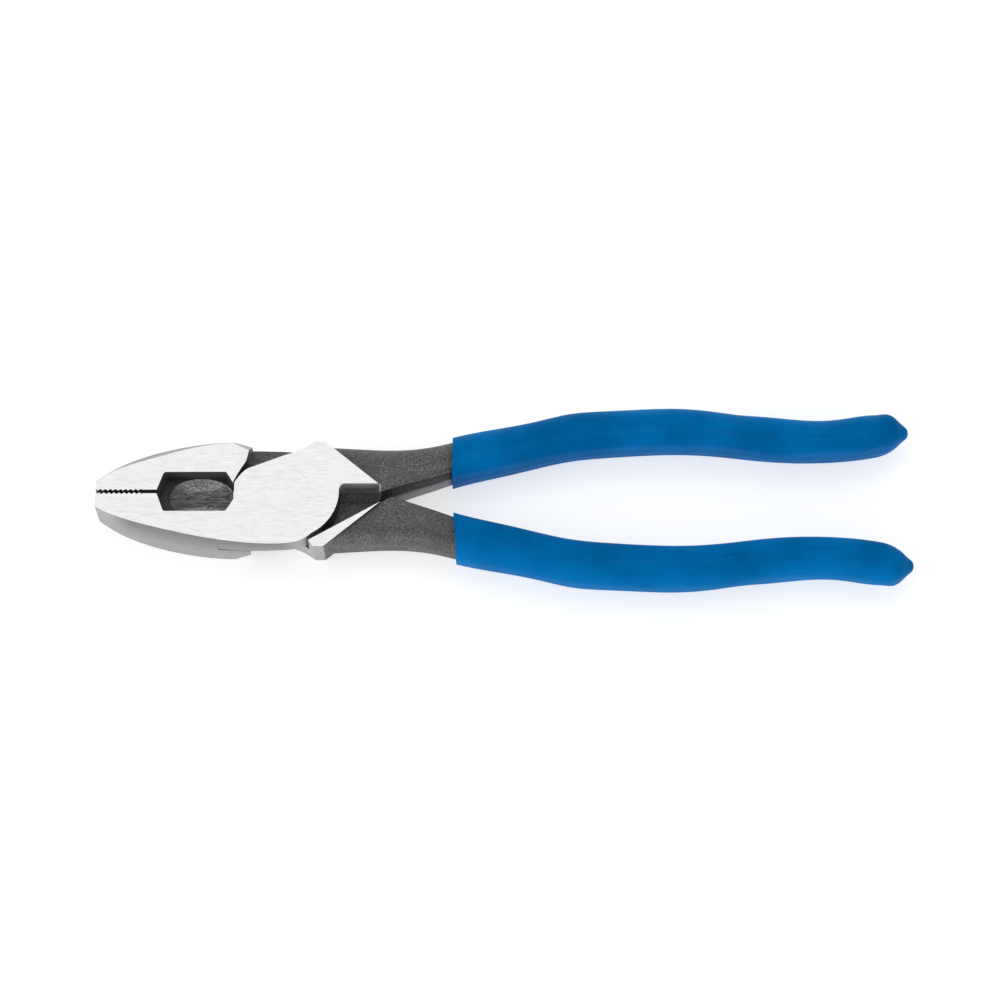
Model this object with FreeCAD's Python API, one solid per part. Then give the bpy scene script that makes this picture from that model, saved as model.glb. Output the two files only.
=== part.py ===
"""Lineman pliers, 9 inch high-leverage pattern: two forged halves, one flush rivet and two dipped grips.

The tool lies flat with its jaws towards -X and its handles towards +X. It is drawn round the pivot, with the
lap between the two halves at z = 0. When it is written it is moved up by half the head's thickness, so that
the origin ends up on the pivot axis in the face that the tool lies on.

One function forges a half. The right half is drawn as it lies: jaw at -Y, lap lobe on top, handle at +Y. The
left half is the same forging turned half a turn about X.
"""
import FreeCAD
import Part

import math
import os

from FreeCAD import Vector

BIG = 60.0                  # size of cutting blocks, mm

# ---------------------------------------------------------------- driving dimensions, mm
THICKNESS = 15.9            # ground face to ground face, 5/8 in
HALF = THICKNESS / 2
LAP_GAP = 0.03              # from the middle plane to each half's lap face
NOSE_X = -55.5              # flat end of the jaws
JAW_TO_LOBE_X = -20.0       # where the jaw's upper half hands over to the lap lobe

# Jaw outline: distance from the middle line at each station, at the lap side's ground face, at the foot of
# the far face's bevel, and at the far face itself.
JAW_X = (NOSE_X, -50.2, -42.0, -32.0, -22.0, -12.0, -8.0)
JAW_LAP_FACE = (4.8, 7.4, 10.1, 12.65, 14.7, 15.9, 16.2)
JAW_BEVEL_FOOT = (3.5, 7.1, 10.8, 13.6, 15.2, 15.55, 15.5)
JAW_FAR_FACE = (2.8, 6.3, 9.3, 12.3, 14.5, 15.1, 15.1)
BEVEL_HEIGHT = 1.05

# Lap lobe, the half-thickness disc round the rivet
LOBE_R = 14.95
LOBE_DRAFT = 0.9            # how far its lower rim pulls in at the lap plane
LOBE_JOIN = math.radians(-62)
LOBE_END = (-15.38, 2.4)    # flat end of the lobe beside the wire window, and its corner's height
RECESS_R = 15.3             # seat of the other half's lobe
RECESS_END = (-15.7, -2.9)
RECESS_CORNER = (-11.3, -12.9)
SHOULDER_WALL = 16.38        # distance of the straight shoulder wall from the pivot
SHOULDER_WALL_DIR = math.radians(60.15)
SHOULDER_PEAK = (7.9, 10.6, 15.5)      # from x, to x, height at the ground face
SHOULDER_FLARE = 0.85       # how much further out the peak stands at the middle plane
SHOULDER_TIP = (26.3, 2.2)
STRIP_TIP = (28.3, 2.26)
NOTCH_REACH = 26.6          # the root is notched beside the lobe as far as this
NOTCH = ((2.2, BIG), (2.2, 1.6), (-0.7, 0.25), (-0.7, LAP_GAP), (-BIG, LAP_GAP), (-BIG, BIG))
REAR_BEVEL = ((-16.1, -15.05, -HALF), (-11.4, -12.65, -HALF), (-10.6, -15.8, -2.6))

# Wire window and knives
PARTING = -0.17             # the jaws meet a little to the right half's side of the middle line
WINDOW_FRONT_X = -38.0
WINDOW_REAR_X = -15.5
WINDOW_REAR_HALF = 2.4
WINDOW_SIDE_X = (-35.8, -17.8)
WINDOW_HALF_WIDTH = 6.1
WINDOW_CORNER_R = (1.0, 0.8)
WINDOW_FLOOR_Z = 3.0
WINDOW_TAPER = (0.9, 0.1, 0.15)  # how far the front, rear and side walls close in by the floor
DISH = (-26.7, 9.5, 5.85)   # middle, half length and half width of the oval dish, for 25/32 in knives
DISH_RISE = (8.0, 1.6)      # heights of the middle of the dish's ellipsoid and of its lowest point
DISH_TILT = 3.0             # degrees, deeper towards the rivet
KNIFE_OVAL = (-25.4, 9.5, 5.4)         # middle, half length and half width of the ground bevels' outline
KNIFE_V = (4.3, 3.1)        # half opening and height of the V between the bevels
KNIFE_GAP = 0.04

# Gripping faces
TEETH_END_X = -42.0
TOOTH_PITCH = 1.456
TOOTH_HEIGHT = 0.5
JAW_GAP = 1.1
HATCH_PITCH = 1.59
HATCH_DEPTH = 0.3
TAPE_SLOT = 0.58            # depth of the flat-tape pulling channel in each jaw

# Handle forging: x, inner edge, outer edge, half thickness, inner and outer corner radius, depth of the
# channel along the middle of the top and bottom faces
HANDLE = (
    (12.0, -1.2, 15.0, 7.25, 0.6, 4.2, 0.0),
    (20.0, -1.0, 14.75, 7.15, 0.6, 4.6, 0.0),
    (28.0, -0.05, 14.55, 6.95, 0.9, 4.9, 0.05),
    (36.0, 2.5, 14.95, 6.60, 1.4, 5.0, 0.2),
    (44.0, 5.05, 16.4, 6.10, 1.8, 4.9, 0.35),
    (51.0, 7.4, 18.3, 5.60, 2.0, 4.6, 0.4),
    (62.0, 9.95, 20.55, 5.10, 2.0, 4.2, 0.4),
    (76.0, 13.4, 23.7, 4.80, 2.0, 4.0, 0.4),
    (91.0, 15.65, 25.9, 4.70, 2.0, 3.9, 0.4),
    (105.5, 16.55, 26.6, 4.70, 2.0, 3.9, 0.4),
    (120.0, 16.5, 26.25, 4.70, 2.0, 3.9, 0.4),
    (134.5, 14.95, 24.4, 4.60, 2.0, 3.8, 0.4),
    (149.0, 13.95, 23.05, 4.60, 2.0, 3.8, 0.35),
    (163.0, 14.45, 23.55, 4.50, 2.0, 3.7, 0.25),
    (169.0, 15.2, 24.5, 4.40, 2.0, 3.7, 0.15),
    (174.0, 16.35, 24.95, 4.20, 2.0, 3.6, 0.1),
)
INNER_DRAFT = math.radians(5)

# Rivet
RIVET_R = 4.8
RIVET_HEAD_R = 6.6
RIVET_HEAD_DEPTH = 1.8
RIVET_CLEARANCE = 0.05

# Dipped grips
COAT = 1.4
CUFF_MIDDLE_Y = 12.2
RIGHT_CUFF = (47.7, math.radians(0.5))  # where the right coat starts and how far its edge leans
LEFT_CUFF = (48.4, math.radians(3.5))
GRIP_END = (                # x, centre, half width, half thickness of the end and of its drip
    (175.4, 20.7, 5.3, 5.1),
    (177.0, 20.8, 4.4, 4.3),
    (178.5, 20.8, 3.1, 3.0),
    (179.7, 20.8, 2.1, 2.0),
    (180.5, 20.8, 1.4, 1.4),
    (180.9, 20.8, 0.7, 0.7),
)

# ---------------------------------------------------------------- small helpers

def vec(x, y, z=0.0):
    return Vector(x, y, z)


def polar(radius, angle, z=0.0):
    return Vector(radius * math.cos(angle), radius * math.sin(angle), z)


def line(a, b):
    return Part.LineSegment(a, b).toShape()


def arc(a, middle, b):
    return Part.Arc(a, middle, b).toShape()


def spline(points):
    curve = Part.BSplineCurve()
    curve.interpolate(points)
    return curve.toShape()


def polygon(points):
    return Part.makePolygon(list(points) + [points[0]])


def prism(points, direction):
    return Part.Face(polygon(points)).extrude(direction)


def rounded_outline(corners):
    """Closed outline through (point, radius) corners; a radius of 0 leaves its corner sharp."""
    bends = []
    for i, (corner, radius) in enumerate(corners):
        before = (corners[i - 1][0] - corner).normalize()
        after = (corners[(i + 1) % len(corners)][0] - corner).normalize()
        half_angle = before.getAngle(after) / 2
        reach = radius / math.tan(half_angle)
        bulge = radius / math.sin(half_angle) - radius
        middle = corner + (before + after).normalize() * bulge
        bends.append((corner + before * reach, middle, corner + after * reach, radius))
    edges = []
    for i, (start, middle, stop, radius) in enumerate(bends):
        if radius > 0:
            edges.append(arc(start, middle, stop))
        edges.append(line(stop, bends[(i + 1) % len(bends)][0]))
    return Part.Wire(edges)


def ruled(lower, upper):
    """Solid between two wires with the same number of edges."""
    return Part.makeLoft([lower, upper], True, True)


def halfspace(points, keep_out):
    """Block on the far side of the plane through three points, seen from the point keep_out."""
    a, b, c = (Vector(*p) for p in points)
    normal = (b - a).cross(c - a).normalize()
    if normal.dot(keep_out - a) > 0:
        normal = -normal
    return Part.makeBox(BIG, BIG, BIG, vec(-BIG / 2, -BIG / 2), vec(0, 0, 1)).transformed(
        FreeCAD.Placement(a, FreeCAD.Rotation(vec(0, 0, 1), normal)).toMatrix()
    )


# ---------------------------------------------------------------- jaw
def jaw_wire(offsets, z):
    rear_x = JAW_X[-1]
    top = 0.4               # the gripping face is trimmed to its teeth later
    outer = [vec(x, -y, z) for x, y in zip(JAW_X, offsets)]
    return Part.Wire([
        spline(outer),
        line(outer[-1], vec(rear_x, top, z)),
        line(vec(rear_x, top, z), vec(NOSE_X, top, z)),
        line(vec(NOSE_X, top, z), outer[0]),
    ])


def jaw_block():
    foot_z = -HALF + BEVEL_HEIGHT
    wall = ruled(jaw_wire(JAW_BEVEL_FOOT, foot_z), jaw_wire(JAW_LAP_FACE, HALF))
    bevel = ruled(jaw_wire(JAW_FAR_FACE, -HALF), jaw_wire(JAW_BEVEL_FOOT, foot_z))
    jaw = wall.fuse(bevel)
    corner = halfspace(REAR_BEVEL, vec(-30, 0, 0))
    reach = Part.makeBox(10.0, 10.0, HALF + 0.5, vec(-17.5, -20.0, -HALF - 0.5))
    above_lap = Part.makeBox(BIG, BIG, BIG, vec(JAW_TO_LOBE_X, -BIG / 2, LAP_GAP))
    return jaw.cut([corner.common(reach), above_lap])


def gripping_face(shift):
    """Everything beyond the jaw's bite: a zigzag of teeth, the tape slot and the parting plane behind it."""
    base = -JAW_GAP / 2
    beyond = 4.0
    points = [vec(NOSE_X - 1, beyond), vec(NOSE_X - 1, base)]
    x, high = NOSE_X - TOOTH_PITCH * (0.25 + shift), True
    while x < TEETH_END_X:
        if x > NOSE_X - 0.9:
            points.append(vec(x, base + (TOOTH_HEIGHT if high else -TOOTH_HEIGHT) / 2))
        x, high = x + TOOTH_PITCH / 2, not high
    slot_end = WINDOW_FRONT_X + 0.4
    rear_end = LOBE_END[0]
    points += [
        vec(TEETH_END_X, -TAPE_SLOT),
        vec(slot_end, -TAPE_SLOT),
        vec(slot_end, -KNIFE_GAP / 2),
        vec(rear_end, -KNIFE_GAP / 2),
        vec(rear_end, beyond),
    ]
    face = prism([p + vec(0, 0, -BIG / 2) for p in points], vec(0, 0, BIG))
    rows = int(THICKNESS / HATCH_PITCH)
    for row in range(rows):
        z = (row - (rows - 1) / 2) * HATCH_PITCH
        valley = base - HATCH_DEPTH
        v_groove = [
            vec(NOSE_X - 1, valley, z),
            vec(NOSE_X - 1, 2, z - HATCH_PITCH / 4 * (2 - valley) / HATCH_DEPTH / 2),
            vec(NOSE_X - 1, 2, z + HATCH_PITCH / 4 * (2 - valley) / HATCH_DEPTH / 2),
        ]
        face = face.fuse(prism(v_groove, vec(TEETH_END_X - NOSE_X + 1, 0, 0)))
    return face


# ---------------------------------------------------------------- wire window
def window_wire(level, z):
    """Outline of the window; level is 0 at the ground face and 1 at the floor."""
    front, rear, side = (taper * level for taper in WINDOW_TAPER)
    tip, end = WINDOW_FRONT_X + front, WINDOW_REAR_X - rear
    side_left, side_right = WINDOW_SIDE_X[0] + front, WINDOW_SIDE_X[1] - rear
    y = WINDOW_HALF_WIDTH - side
    front_r, rear_r = WINDOW_CORNER_R
    return rounded_outline([
        (vec(tip, 0, z), 0), (vec(side_left, -y, z), front_r), (vec(side_right, -y, z), rear_r),
        (vec(end, -WINDOW_REAR_HALF, z), 0), (vec(end, WINDOW_REAR_HALF, z), 0),
        (vec(side_right, y, z), rear_r), (vec(side_left, y, z), front_r),
    ])


def window_pocket():
    """The pocket above the knives: upright walls, an oval dish in the floor and the ground knife bevels."""
    depth = HALF - WINDOW_FLOOR_Z
    walls = ruled(window_wire(1, WINDOW_FLOOR_Z), window_wire(-0.5 / depth, HALF + 0.5))
    middle, half_length, half_width = DISH
    centre_z, lowest = DISH_RISE
    share = math.sqrt(1 - ((centre_z - WINDOW_FLOOR_Z) / (centre_z - lowest)) ** 2)
    stretch = FreeCAD.Matrix()
    stretch.scale(half_length / share, half_width / share, centre_z - lowest)
    ball = Part.makeSphere(1.0)
    ball.rotate(vec(0, 0), vec(1, 0, 0), 90)            # poles along Y, clear of the dish
    dish = ball.transformGeometry(stretch)
    dish.translate(vec(middle, 0, centre_z))
    dish.rotate(vec(middle, 0, WINDOW_FLOOR_Z), vec(0, 1, 0), DISH_TILT)
    top_z = WINDOW_FLOOR_Z + 0.05
    slab = Part.makeBox(BIG, BIG, top_z, vec(WINDOW_REAR_X - BIG, -BIG / 2))
    middle, half_length, half_width = KNIFE_OVAL
    oval = Part.Ellipse(vec(middle, 0), half_length, half_width).toShape()
    column = Part.Face(Part.Wire([oval])).extrude(vec(0, 0, top_z))
    v_y, v_z = KNIFE_V
    reach = middle - half_length - 1
    v_shape = [vec(reach, 0), vec(reach, v_y, v_z), vec(reach, -v_y, v_z)]
    bevels = prism(v_shape, vec(2 * half_length + 2, 0))
    return walls.fuse([dish.common(slab), bevels.common(column)])


# ---------------------------------------------------------------- lap lobe and shoulder
def shoulder_point(along):
    """Point on the straight shoulder wall, at a distance along it from the foot of the pivot's normal."""
    normal = polar(1, SHOULDER_WALL_DIR)
    return normal * SHOULDER_WALL + vec(normal.y, -normal.x) * along


def lobe_wire(level, z):
    """Outline of the lap lobe; level is 0 at the ground face and 1 at the lap plane."""
    draft, flare = LOBE_DRAFT * level, SHOULDER_FLARE * level
    join = polar(LOBE_R, LOBE_JOIN, z)
    ledge = polar(LOBE_R, math.radians(-0.8), z)
    start_x, top = JAW_TO_LOBE_X - 0.5, 0.7
    end_x, end_y = LOBE_END[0] - 0.22, LOBE_END[1]     # trimmed to length with the gripping face
    rim = [
        vec(start_x, -15.0, z),
        vec(-12.0, -16.05 + draft * 0.45, z),
        vec(-3.0, -16.4 + draft, z),
        vec(3.5, -15.5 + draft * 0.8, z),
        join,
    ]
    tip_x, tip_y = SHOULDER_TIP
    peak_from, peak_to, peak_y = SHOULDER_PEAK
    neck = [
        vec(peak_from, peak_y + flare, z),
        vec(5.6, 13.9 + flare * 0.8, z),
        vec(2.6, 12.35 + flare * 0.4, z),
        vec(-1.0, 11.1, z),
    ]
    cheek = [vec(-10.2, 7.5, z), vec(-12.6, 6.2, z), vec(-14.3, 4.2, z), vec(end_x, end_y, z)]
    return Part.Wire([
        spline(rim),
        arc(join, polar(LOBE_R, LOBE_JOIN / 2, z), ledge),
        arc(ledge, vec(15.4, 1.5, z), vec(16.3, tip_y, z)),
        line(vec(16.3, tip_y, z), vec(tip_x, tip_y, z)),
        line(vec(tip_x, tip_y, z), vec(peak_to, peak_y + flare, z)),
        line(vec(peak_to, peak_y + flare, z), neck[0]),
        spline(neck),
        line(neck[-1], cheek[0]),
        spline(cheek),
        line(cheek[-1], vec(end_x, top, z)),
        line(vec(end_x, top, z), vec(start_x, top, z)),
        line(vec(start_x, top, z), rim[0]),
    ])


def strip_wire(level, z):
    """Outline of the full-height shoulder beside the other lobe; level is 0 at the face, 1 at the lap."""
    drop = SHOULDER_FLARE * level
    foot = shoulder_point(-2.2)
    tip = vec(*STRIP_TIP)
    peak_from, peak_to, peak_y = SHOULDER_PEAK
    peak = peak_y + 2 * SHOULDER_FLARE - drop
    corners = [foot, vec(7.5, peak), vec(peak_to, peak), tip]
    return polygon([vec(p.x, p.y, z) for p in corners])


def lobe():
    return ruled(lobe_wire(1, LAP_GAP), lobe_wire(0, HALF))


def shoulder_strip():
    return ruled(strip_wire(0, -HALF), strip_wire(1, LAP_GAP))


def lap_recess():
    """Room for the other half's lobe, below the lap plane."""
    depth = -HALF - 2
    a, b = vec(*RECESS_END, depth), polar(RECESS_R, math.radians(-142), depth)
    middle = polar(RECESS_R, math.radians(-155), depth)
    corner = vec(*RECESS_CORNER, depth)
    outside = corner + (corner - b) * 3
    wall_start, wall_end = shoulder_point(45), shoulder_point(-45)
    wall_start.z = wall_end.z = depth
    edges = [
        arc(a, middle, b),
        line(b, outside),
        line(outside, vec(BIG, -BIG, depth)),
        line(vec(BIG, -BIG, depth), wall_start),
        line(wall_start, wall_end),
        line(wall_end, vec(a.x, wall_end.y, depth)),
        line(vec(a.x, wall_end.y, depth), a),
    ]
    return Part.Face(Part.Wire(edges)).extrude(vec(0, 0, LAP_GAP - depth))


# ---------------------------------------------------------------- handle
def handle_section(x, y_in, y_out, half, r_in, r_out, dip):
    """Section across the handle: drafted inner side with a crease, round outer side, channelled faces."""
    lean = (half - r_in) * math.tan(INNER_DRAFT)
    inner_c, outer_c = y_in + lean + r_in, y_out - r_out
    s = math.sqrt(0.5)

    def at(y, z):
        return Vector(x, y, z)

    def channel(level, depth):
        curve = Part.BSplineCurve()
        points = [at(inner_c, level), at((inner_c + outer_c) / 2, level - depth), at(outer_c, level)]
        curve.interpolate(Points=points, InitialTangent=vec(0, 1), FinalTangent=vec(0, 1))
        return curve.toShape()

    def side(sign):
        face, z_in, z_out = sign * half, sign * (half - r_in), sign * (half - r_out)
        inner_middle = at(inner_c - r_in * s, z_in + sign * r_in * s)
        outer_middle = at(outer_c + r_out * s, z_out + sign * r_out * s)
        return [
            line(at(y_in, 0), at(y_in + lean, z_in)),
            arc(at(y_in + lean, z_in), inner_middle, at(inner_c, face)),
            channel(face, sign * dip),
            arc(at(outer_c, face), outer_middle, at(y_out, z_out)),
        ]

    upper, lower = side(1), side(-1)
    join = line(at(y_out, half - r_out), at(y_out, r_out - half))
    return Part.Wire(upper + [join] + lower[::-1])


def handle_core():
    return Part.makeLoft([handle_section(*row) for row in HANDLE], True, False)


def root_notch():
    """What the root leaves free beside the lobe, above the lap: an upright wall with a bevelled foot."""
    return prism([vec(10, y, z) for y, z in NOTCH], vec(NOTCH_REACH - 10, 0, 0))


# ---------------------------------------------------------------- rivet
def rivet_profile(extra, over):
    """Solid of the rivet, made larger all round by extra and longer at both ends by over."""
    shank, head = RIVET_R + extra, RIVET_HEAD_R + extra
    neck = HALF - RIVET_HEAD_DEPTH
    slope = (head - shank) / RIVET_HEAD_DEPTH
    points = [
        vec(0, 0, -HALF - over), vec(head + slope * over, 0, -HALF - over),
        vec(shank, 0, -neck), vec(shank, 0, neck),
        vec(head + slope * over, 0, HALF + over), vec(0, 0, HALF + over),
    ]
    return Part.Face(polygon(points)).revolve(vec(0, 0), vec(0, 0, 1), 360)


# ---------------------------------------------------------------- pieces
def forged_half(tooth_shift, bore_extra, parting):
    root = handle_core().cut(root_notch())
    steel = jaw_block().fuse([lobe(), shoulder_strip(), root])
    steel = steel.cut(lap_recess())
    pocket = window_pocket()
    cutters = [gripping_face(tooth_shift), pocket, half_turn(pocket)]
    for cutter in cutters:
        cutter.translate(vec(0, parting))
    steel = steel.cut(cutters)
    steel = steel.cut(rivet_profile(bore_extra, 0.5))
    return steel.removeSplitter()


def coated(x, y_in, y_out, half, r_in, r_out, dip):
    return (x, y_in - COAT, y_out + COAT, half + COAT, r_in + COAT, r_out + COAT, dip)


def grip(cuff_x, cuff_lean):
    rows = [coated(*row) for row in HANDLE if row[0] > 40]
    for x, centre, half_width, half in GRIP_END:
        corner = 0.75 * min(half_width, half)
        rows.append((x, centre - half_width, centre + half_width, half, corner, corner, 0.0))
    outer = Part.makeLoft([handle_section(*row) for row in rows], True, False)
    front = Part.makeBox(BIG, BIG, BIG, vec(-BIG, -BIG / 2, -BIG / 2))
    front.rotate(vec(0, 0), vec(0, 0, 1), -math.degrees(cuff_lean))
    front.translate(vec(cuff_x, CUFF_MIDDLE_Y, 0))
    return outer.cut(front).cut(handle_core())


def half_turn(shape):
    turned = shape.copy()
    turned.rotate(vec(0, 0), vec(1, 0, 0), 180)
    return turned


def write(name, shape):
    placed = shape.copy()
    placed.translate(vec(0, 0, HALF))
    solids = placed.Solids
    print(name, "solids", len(solids), "valid", placed.isValid(), "volume", round(placed.Volume, 1))
    if len(solids) == 1:
        placed = solids[0]
    placed.exportStep(f"parts/{name}.step")


def main():
    os.makedirs("parts", exist_ok=True)
    write("right_half", forged_half(0.0, RIVET_CLEARANCE, PARTING))
    write("left_half", half_turn(forged_half(0.25, 0.0, -PARTING)))
    write("rivet", rivet_profile(0.0, 0.0))
    write("right_grip", grip(*RIGHT_CUFF))
    write("left_grip", half_turn(grip(*LEFT_CUFF)))


main()
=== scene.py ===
import math

import bpy
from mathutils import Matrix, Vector


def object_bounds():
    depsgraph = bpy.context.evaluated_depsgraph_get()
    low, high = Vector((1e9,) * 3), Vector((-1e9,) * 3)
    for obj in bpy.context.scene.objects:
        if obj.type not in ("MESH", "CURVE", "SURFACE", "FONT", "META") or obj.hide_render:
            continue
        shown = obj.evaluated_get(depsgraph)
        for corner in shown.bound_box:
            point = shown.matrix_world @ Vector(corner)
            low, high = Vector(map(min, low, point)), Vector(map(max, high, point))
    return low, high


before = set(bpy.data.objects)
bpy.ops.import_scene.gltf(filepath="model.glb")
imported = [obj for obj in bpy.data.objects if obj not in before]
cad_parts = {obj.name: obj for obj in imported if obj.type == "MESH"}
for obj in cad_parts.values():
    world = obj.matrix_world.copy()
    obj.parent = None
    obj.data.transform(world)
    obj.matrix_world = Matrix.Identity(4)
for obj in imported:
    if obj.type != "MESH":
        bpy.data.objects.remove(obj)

CAD_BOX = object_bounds()

# Lengths are in metres in the scene; the materials work in millimetres of the row frame.
MM = 0.001
TOP_Z = CAD_BOX[1][2] / MM  # ground face on top of the head
MID_Z = TOP_Z / 2           # lap plane

# ---------------------------------------------------------------- camera and light
VIEW_ELEVATION = math.radians(68.0)
VIEW_DISTANCE = 1.15
VIEW_ROLL = -0.002
VIEW_TARGET = Vector((61.5, 0.14, MID_Z)) * MM
FRAME_WIDTH = 290.95 * MM
SENSOR = 36.0
LAMPS = {                   # place, size, power
    "overhead": ((0.05, 0.50, 1.15), (1.30, 0.75), 2.7),
    "back_strip": ((0.05, 1.10, 0.38), (1.60, 0.35), 3.0),
    "front_strip": ((0.05, -1.10, 0.30), (1.60, 0.40), 4.0),
    "nose_side": ((-1.00, -0.25, 0.60), (0.50, 0.50), 3.0),
}
WORLD_STRENGTH = 0.45
TABLE_GLOW = 0.62           # the floor is a light table


def add_camera():
    data = bpy.data.cameras.new("camera")
    data.sensor_width = SENSOR
    data.lens = SENSOR * VIEW_DISTANCE / FRAME_WIDTH
    camera = bpy.data.objects.new("camera", data)
    bpy.context.scene.collection.objects.link(camera)
    offset = Vector((0, -math.cos(VIEW_ELEVATION), math.sin(VIEW_ELEVATION)))
    camera.location = VIEW_TARGET + offset * VIEW_DISTANCE
    camera.rotation_mode = "ZYX"
    camera.rotation_euler = (math.pi / 2 - VIEW_ELEVATION, 0, VIEW_ROLL)
    bpy.context.scene.camera = camera


def add_lamp(name, place, size, power):
    data = bpy.data.lights.new(name, "AREA")
    data.shape = "RECTANGLE"
    data.size, data.size_y = size
    data.energy = power
    lamp = bpy.data.objects.new(name, data)
    bpy.context.scene.collection.objects.link(lamp)
    lamp.location = place
    lamp.rotation_euler = (VIEW_TARGET - Vector(place)).to_track_quat("-Z", "Y").to_euler()


def add_world():
    world = bpy.data.worlds.new("world")
    bpy.context.scene.world = world
    world.use_nodes = True
    background = world.node_tree.nodes["Background"]
    background.inputs["Color"].default_value = (1.0, 1.0, 1.0, 1.0)
    background.inputs["Strength"].default_value = WORLD_STRENGTH
    bpy.context.scene.view_settings.view_transform = "Standard"


# ---------------------------------------------------------------- node helpers
class Nodes:
    """A material's node tree, with each step a short call. Inputs are sockets or plain numbers."""

    def __init__(self, name):
        self.material = bpy.data.materials.new(name)
        self.material.use_nodes = True
        self.tree = self.material.node_tree
        self.shader = self.tree.nodes["Principled BSDF"]
        self.place = self.add("ShaderNodeTexCoord")
        self.mm = self.scaled(self.place.outputs["Object"], (1000, 1000, 1000))
        split = self.add("ShaderNodeSeparateXYZ")
        self.link(self.mm, split.inputs[0])
        self.x, self.y, self.z = split.outputs
        facing = self.add("ShaderNodeSeparateXYZ")
        self.link(self.place.outputs["Normal"], facing.inputs[0])
        self.height = self.calc("ABSOLUTE", self.calc("SUBTRACT", self.z, MID_Z))
        self.across = self.calc("ABSOLUTE", self.y)
        self.up = self.calc("ABSOLUTE", facing.outputs["Z"])
        self.inward = self.calc("MULTIPLY", facing.outputs["Y"], self.calc("SIGN", self.y))
        self.forward = facing.outputs["X"]
        self.sideways = facing.outputs["Y"]

    def add(self, kind, **settings):
        node = self.tree.nodes.new(kind)
        for key, value in settings.items():
            setattr(node, key, value)
        return node

    def link(self, source, socket):
        if isinstance(source, bpy.types.NodeSocket):
            self.tree.links.new(source, socket)
        else:
            socket.default_value = source

    def scaled(self, vector, factors):
        node = self.add("ShaderNodeVectorMath", operation="MULTIPLY")
        self.link(vector, node.inputs[0])
        node.inputs[1].default_value = factors
        return node.outputs[0]

    def calc(self, operation, a, b=0.0, clamp=False):
        node = self.add("ShaderNodeMath", operation=operation, use_clamp=clamp)
        self.link(a, node.inputs[0])
        self.link(b, node.inputs[1])
        return node.outputs[0]

    def both(self, *masks):
        out = masks[0]
        for mask in masks[1:]:
            out = self.calc("MULTIPLY", out, mask)
        return out

    def rest(self, mask):
        return self.calc("SUBTRACT", 1.0, mask, clamp=True)

    def ramp(self, value, low, high, to_low=0.0, to_high=1.0):
        node = self.add("ShaderNodeMapRange", interpolation_type="SMOOTHSTEP")
        for key, item in (("Value", value), ("From Min", low), ("From Max", high),
                          ("To Min", to_low), ("To Max", to_high)):
            self.link(item, node.inputs[key])
        return node.outputs[0]

    def noise(self, per_mm, detail=3.0, rough=0.55, stretch=(1, 1, 1), warp=0.0):
        node = self.add("ShaderNodeTexNoise")
        self.link(self.scaled(self.mm, stretch), node.inputs["Vector"])
        for key, item in (("Scale", per_mm), ("Detail", detail), ("Roughness", rough), ("Distortion", warp)):
            node.inputs[key].default_value = item
        return node.outputs["Fac"]

    def wander(self, noise, size):
        """A noise as an uneven shift, in mm."""
        return self.calc("ADD", self.calc("MULTIPLY", noise, size), 0.5)

    def cells(self, per_mm):
        node = self.add("ShaderNodeTexVoronoi")
        self.link(self.mm, node.inputs["Vector"])
        node.inputs["Scale"].default_value = per_mm
        return node.outputs["Distance"]

    def blend(self, mask, a, b):
        node = self.add("ShaderNodeMix", data_type="FLOAT")
        self.link(mask, node.inputs[0])
        self.link(a, node.inputs[2])
        self.link(b, node.inputs[3])
        return node.outputs[0]

    def tint(self, mask, a, b):
        node = self.add("ShaderNodeMix", data_type="RGBA")
        self.link(mask, node.inputs[0])
        for socket, colour in ((node.inputs[6], a), (node.inputs[7], b)):
            self.link(colour if isinstance(colour, bpy.types.NodeSocket) else (*colour, 1.0), socket)
        return node.outputs[2]

    def bump(self, height, depth_mm):
        node = self.add("ShaderNodeBump")
        node.inputs["Strength"].default_value = 1.0
        node.inputs["Distance"].default_value = depth_mm * MM
        self.link(height, node.inputs["Height"])
        return node.outputs[0]

    def finish(self, **sockets):
        for key, value in sockets.items():
            self.link(value, self.shader.inputs[key.replace("_", " ")])
        return self.material


# ---------------------------------------------------------------- steel
GROUND_STEEL = (0.84, 0.84, 0.83)
GROUND_DULL = (0.70, 0.70, 0.69)
BLASTED_STEEL = (0.53, 0.525, 0.52)
BLASTED_DARK = (0.33, 0.328, 0.324)
# painted shade: the colour that darkens the blasted sides towards their top edge
BLASTED_PAINTED_SHADE = (0.13, 0.129, 0.127)
HEEL_STEEL = (0.58, 0.58, 0.57)
OXIDE = (0.072, 0.071, 0.069)
# painted shade: black for the steps beside the ground strip and for the upper inner sides of the roots
OXIDE_PAINTED_SHADE = (0.022, 0.022, 0.021)
# painted glints: the bright specks painted into the oxide's colour
OXIDE_PAINTED_GLINT = (0.36, 0.356, 0.35)
TRIMMED = (0.30, 0.297, 0.293)
MILLED = (0.50, 0.50, 0.49)
# painted shade: the dark walls and darker floor of the wire window; the walls vary with the grain
WALL_PAINTED_SHADE_LOW = (0.125, 0.124, 0.122)
WALL_PAINTED_SHADE_HIGH = (0.17, 0.169, 0.167)
PAINTED_FLOOR_SHADE = (0.06, 0.0595, 0.059)
DISH_DARK = (0.05, 0.049, 0.048)
DISH_LIGHT = (0.72, 0.715, 0.71)
KNIFE_DARK = (0.14, 0.139, 0.137)
KNIFE_LIGHT = (0.48, 0.477, 0.47)
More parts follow.
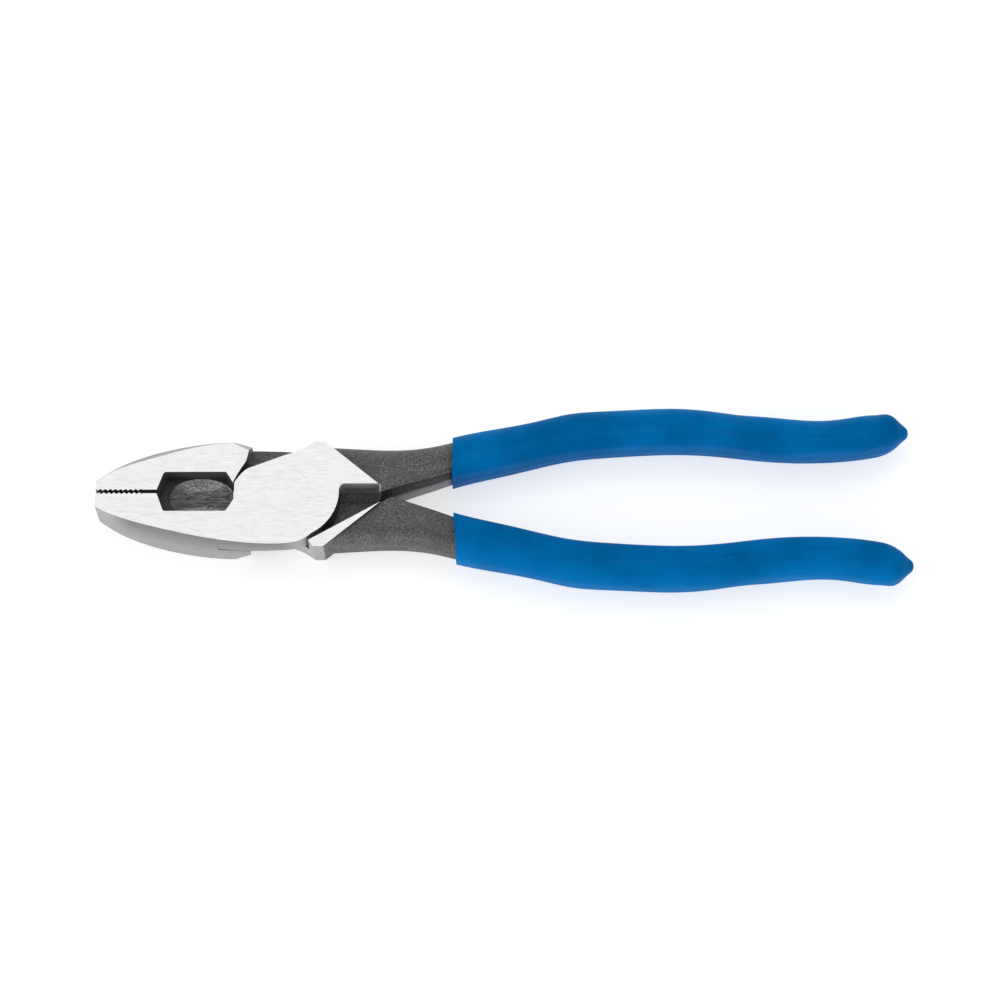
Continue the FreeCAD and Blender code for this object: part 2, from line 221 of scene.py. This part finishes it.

# Limits of the finishes and of the painted shade, each over a short blend, in mm; heights are measured from
# the lap plane.
GROUND_FACE = (7.915, 7.93)
WINDOW_FRONT = (-38.4, -38.3)
WINDOW_REAR = (-15.3, -15.2)
WINDOW_SIDE = (6.5, 6.6)
WINDOW_FLOOR = (2.96, 2.99)
JAW_END = (-38.3, -38.1)
LOBE_END = (-15.4, -15.2)
BLAST_END = (11.6, 11.9)
HEEL_START = (0.0, 0.4)
NOTCH_START = (15.0, 15.3)
NOTCH_END = (26.8, 27.2)
NOTCH_SIDE = (2.3, 2.4)
ROOT_START = (27.0, 28.5)
TRIM_EDGE = (1.9, 2.1)
STEP_START = (11.0, 11.5)
STEP_END = (31.0, 32.0)
STEP_SIDE = (2.4, 2.6)
STEP_FOOT = (6.5, 6.9)
KNIFE_TILT = 0.585          # sideways part of the knife bevels' normals
STEEL_RELIEF = 0.16         # height of the bumps


def brushed(n):
    """Fine lengthwise grinding lines, each a few millimetres long."""
    fine = n.noise(1.0, 3.0, 0.7, stretch=(0.26, 6.0, 1.0), warp=0.3)
    broad = n.noise(1.0, 2.0, 0.5, stretch=(0.06, 0.9, 1.0), warp=0.5)
    return n.calc("ADD", n.calc("MULTIPLY", fine, 0.88), n.calc("MULTIPLY", broad, 0.12))


def ground_look(n):
    """Colour, roughness and relief of a ground face."""
    streaks = brushed(n)
    colour = n.tint(n.ramp(streaks, 0.34, 0.62), GROUND_DULL, GROUND_STEEL)
    rough = n.ramp(streaks, 0.25, 0.75, 0.40, 0.32)
    return colour, rough, n.calc("MULTIPLY", streaks, 0.05)


def outside_masks(n):
    """Outer sides of the head, and the heels behind it; the inner limit follows the window and the lap."""
    inner_limit = n.calc("ADD", n.ramp(n.x, *JAW_END, 1.0, 6.6), n.ramp(n.x, *LOBE_END, 0.0, 4.2))
    outside = n.ramp(n.calc("SUBTRACT", n.across, inner_limit), 0.0, 0.1)
    front = n.rest(n.ramp(n.calc("ADD", n.x, n.wander(n.noise(0.9), 1.2)), *BLAST_END))
    upright = n.rest(n.ramp(n.up, 0.80, 0.86))
    blasted = n.both(outside, front, upright)
    heel = n.both(blasted, n.ramp(n.x, *HEEL_START), n.rest(n.ramp(n.forward, -0.45, -0.35)))
    return blasted, heel


def window_masks(n):
    """Whole wire window, the dish in its floor and the ground bevels of the knives."""
    window = n.both(n.ramp(n.x, *WINDOW_FRONT), n.rest(n.ramp(n.x, *WINDOW_REAR)),
                    n.rest(n.ramp(n.across, *WINDOW_SIDE)))
    low = n.rest(n.ramp(n.height, *WINDOW_FLOOR))
    off_tilt = n.calc("ABSOLUTE", n.calc("SUBTRACT", n.calc("ABSOLUTE", n.sideways), KNIFE_TILT))
    bevel = n.both(n.rest(n.ramp(off_tilt, 0.004, 0.010)),
                   n.rest(n.ramp(n.calc("ABSOLUTE", n.forward), 0.004, 0.010)))
    dish = n.both(window, low, n.ramp(n.up, 0.30, 0.45), n.rest(bevel))
    knife = n.both(window, low, bevel)
    return window, dish, knife


def root_masks(n):
    """Milled notch beside the lobe, steps round it that get painted shade, and the inner sides of the handle
    roots.

    The inner sides have a strip where the forging's flash was trimmed and, above it, a band that gets
    painted shade.
    """
    milled = n.both(n.ramp(n.x, *NOTCH_START), n.rest(n.ramp(n.x, *NOTCH_END)),
                    n.rest(n.ramp(n.across, *NOTCH_SIDE)), n.ramp(n.height, 1.5, 1.6))
    # the steps beside the ground strip, which get painted shade
    step = n.both(n.ramp(n.x, *STEP_START), n.rest(n.ramp(n.x, *STEP_END)), n.rest(n.ramp(n.up, 0.25, 0.4)),
                  n.ramp(n.height, *STEP_FOOT), n.rest(n.ramp(n.height, *GROUND_FACE)),
                  n.ramp(n.across, *STEP_SIDE))
    inner_side = n.both(n.ramp(n.x, *ROOT_START), n.rest(n.ramp(n.up, 0.35, 0.6)),
                        n.rest(n.ramp(n.inward, -0.4, -0.2)))
    level = n.calc("MULTIPLY", n.calc("SUBTRACT", n.z, MID_Z), n.calc("SIGN", n.y))
    ragged = n.wander(n.noise(0.5, 3.0), 0.9)
    strip = n.rest(n.ramp(n.calc("ADD", level, ragged), *TRIM_EDGE))
    # above the trimmed strip the inner side gets painted shade
    return milled, step, n.both(inner_side, strip), n.both(inner_side, n.rest(strip))


def root_colour(n, milled, step, trimmed, painted_side_shade):
    """Black oxide with painted glints, painted shade on the steps and on the upper inner sides, and the
    barer places round the notch and along the trimmed strip.
    """
    # painted glints: bright specks scattered in patches over the oxide
    painted_glint_speck = n.ramp(n.noise(4.2, 2.0, 0.6), 0.46, 0.68)
    patches = n.ramp(n.noise(0.12, 3.0, 0.6), 0.3, 0.7, 0.5, 1.0)
    torn = n.ramp(n.noise(1.0, 3.0, 0.6, (0.4, 1.0, 2.2)), 0.3, 0.6, 0.5, 1.0)
    cutter_lines = n.ramp(n.noise(1.0, 3.0, 0.6, (2.5, 1.0, 0.15)), 0.2, 0.8, 0.6, 1.0)
    colour = n.tint(n.both(painted_glint_speck, patches), OXIDE, OXIDE_PAINTED_GLINT)
    # painted shade on the upper part of the inner sides
    colour = n.tint(n.calc("MULTIPLY", painted_side_shade, 0.7), colour, OXIDE_PAINTED_SHADE)
    colour = n.tint(n.both(trimmed, torn), colour, TRIMMED)
    colour = n.tint(n.both(milled, cutter_lines), colour, MILLED)
    # painted shade: the steps are coloured black
    return n.tint(step, colour, OXIDE_PAINTED_SHADE)


def window_colours(n, grain, sparkle):
    """Colours of the window's walls and floor, dark with painted shade (the walls with grain in it), of the
    dish and of the knife bevels.
    """
    tooling = n.noise(1.0, 3.0, 0.6, stretch=(0.30, 1.4, 1.4), warp=1.0)
    # painted shade: the window's walls are dark, its floor darker
    painted_wall_shade = n.tint(n.ramp(grain, 0.3, 0.7), WALL_PAINTED_SHADE_LOW, WALL_PAINTED_SHADE_HIGH)
    painted_wall_shade = n.tint(n.ramp(n.up, 0.7, 0.9), painted_wall_shade, PAINTED_FLOOR_SHADE)
    dish = n.tint(n.ramp(sparkle, 0.38, 0.62), DISH_DARK, DISH_LIGHT)
    knife = n.tint(n.ramp(tooling, 0.35, 0.65), KNIFE_DARK, KNIFE_LIGHT)
    return painted_wall_shade, dish, knife


def blasted_colours(n, sparkle):
    """Colours of the blasted sides, with painted shade darkening them towards their top edge, and of the
    brighter heels.
    """
    # painted shade: the blasted jaw sides darken towards their top edge
    painted_top_shade = n.both(n.ramp(n.z, 3.0, TOP_Z), n.ramp(n.x, -52.0, -45.0), n.rest(n.ramp(n.x, -2.0, 4.0)),
                    n.rest(n.ramp(n.up, 0.2, 0.4)))
    side = n.tint(n.ramp(sparkle, 0.30, 0.70), BLASTED_DARK, BLASTED_STEEL)
    side = n.tint(n.calc("MULTIPLY", painted_top_shade, 0.62), side, BLASTED_PAINTED_SHADE)
    heel = n.tint(n.ramp(sparkle, 0.3, 0.65), BLASTED_DARK, HEEL_STEEL)
    return side, heel


def steel_material():
    n = Nodes("forged_steel")
    grain = n.noise(2.6, 4.0, 0.7)
    sparkle = n.noise(3.4, 2.0, 0.6)
    ground = n.ramp(n.height, *GROUND_FACE)
    blasted, heel = outside_masks(n)
    window, dish, knife = window_masks(n)
    milled, step, trimmed, painted_side_shade = root_masks(n)
    ground_colour, ground_rough, ground_relief = ground_look(n)
    painted_wall_shade_colour, dish_colour, knife_colour = window_colours(n, grain, sparkle)
    side_colour, heel_colour = blasted_colours(n, sparkle)

    colour = root_colour(n, milled, step, trimmed, painted_side_shade)
    for mask, finish in ((window, painted_wall_shade_colour), (dish, dish_colour), (knife, knife_colour),
                         (blasted, side_colour), (heel, heel_colour), (ground, ground_colour)):
        colour = n.tint(mask, colour, finish)

    rough = n.ramp(grain, 0.2, 0.8, 0.42, 0.60)
    rough = n.blend(blasted, rough, n.ramp(grain, 0.2, 0.8, 0.46, 0.60))
    rough = n.blend(ground, rough, ground_rough)
    metal = n.blend(n.calc("MAXIMUM", ground, blasted), 0.75, 1.0)
    metal = n.blend(n.calc("MAXIMUM", milled, trimmed), metal, 0.3)

    relief = n.calc("ADD", n.calc("MULTIPLY", n.cells(2.2), 0.5), n.calc("MULTIPLY", grain, 0.5))
    relief = n.blend(blasted, relief, n.calc("MULTIPLY", grain, 0.45))
    relief = n.blend(n.calc("MAXIMUM", dish, knife), relief, n.calc("MULTIPLY", sparkle, 0.8))
    relief = n.blend(ground, relief, ground_relief)
    return n.finish(Base_Color=colour, Roughness=rough, Metallic=metal, Normal=n.bump(relief, STEEL_RELIEF))


def rivet_material():
    n = Nodes("rivet_steel")
    colour, rough, relief = ground_look(n)
    return n.finish(Base_Color=colour, Roughness=rough, Metallic=1.0, Normal=n.bump(relief, STEEL_RELIEF))


# ---------------------------------------------------------------- dipped grips
BLUE = (0.0, 0.172, 0.485)
BLUE_DEEP = (0.0, 0.126, 0.36)
BLUE_DUST = (0.06, 0.22, 0.48)
VINYL_IOR = 1.12            # low, as the dipped skin hardly glints
VINYL_GLINT = (0.08, 0.50, 1.0, 1.0)


def grip_material():
    n = Nodes("grip_plastic")
    cloud = n.noise(0.06, 3.0, 0.5)
    ripple = n.noise(0.35, 2.0, 0.5, stretch=(0.25, 1.0, 1.0))
    dust = n.ramp(n.noise(6.0, 2.0, 0.5), 0.70, 0.80)
    colour = n.tint(n.ramp(cloud, 0.3, 0.7), BLUE_DEEP, BLUE)
    colour = n.tint(n.calc("MULTIPLY", dust, 0.06), colour, BLUE_DUST)
    n.shader.inputs["IOR"].default_value = VINYL_IOR
    n.shader.inputs["Specular Tint"].default_value = VINYL_GLINT
    height = n.calc("ADD", n.calc("MULTIPLY", ripple, 0.8), n.calc("MULTIPLY", n.noise(2.2, 3.0), 0.12))
    return n.finish(
        Base_Color=colour,
        Roughness=n.ramp(n.noise(1.4, 4.0, 0.6), 0.25, 0.75, 0.42, 0.52),
        Normal=n.bump(height, 0.10),
    )


# ---------------------------------------------------------------- floor
FLOOR_SIZE = 8.0
FLOOR_GREY = (0.60, 0.60, 0.60)
FLOOR_PALE = (0.63, 0.63, 0.63)
FLOOR_DROP = 0.02           # mm below the tool, so that the two never share a plane


def add_floor():
    bpy.ops.mesh.primitive_plane_add(size=FLOOR_SIZE, location=(0, 0, -FLOOR_DROP * MM))
    floor = bpy.context.object
    floor.name = "floor"
    n = Nodes("floor_paper")
    colour = n.tint(n.noise(0.004, 2.0), FLOOR_GREY, FLOOR_PALE)
    n.shader.inputs["Emission Color"].default_value = (1.0, 1.0, 1.0, 1.0)
    n.finish(Base_Color=colour, Roughness=0.85, Emission_Strength=TABLE_GLOW)
    floor.data.materials.append(n.material)


def dress(node, material):
    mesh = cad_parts[node].data
    mesh.materials.clear()
    mesh.materials.append(material)


# ---------------------------------------------------------------- scene
steel = steel_material()
vinyl = grip_material()
for side in ("left", "right"):
    dress(side + "_half", steel)
    dress(side + "_grip", vinyl)
dress("rivet", rivet_material())

add_camera()
add_world()
add_floor()
for lamp_name, lamp in LAMPS.items():
    add_lamp(lamp_name, *lamp)
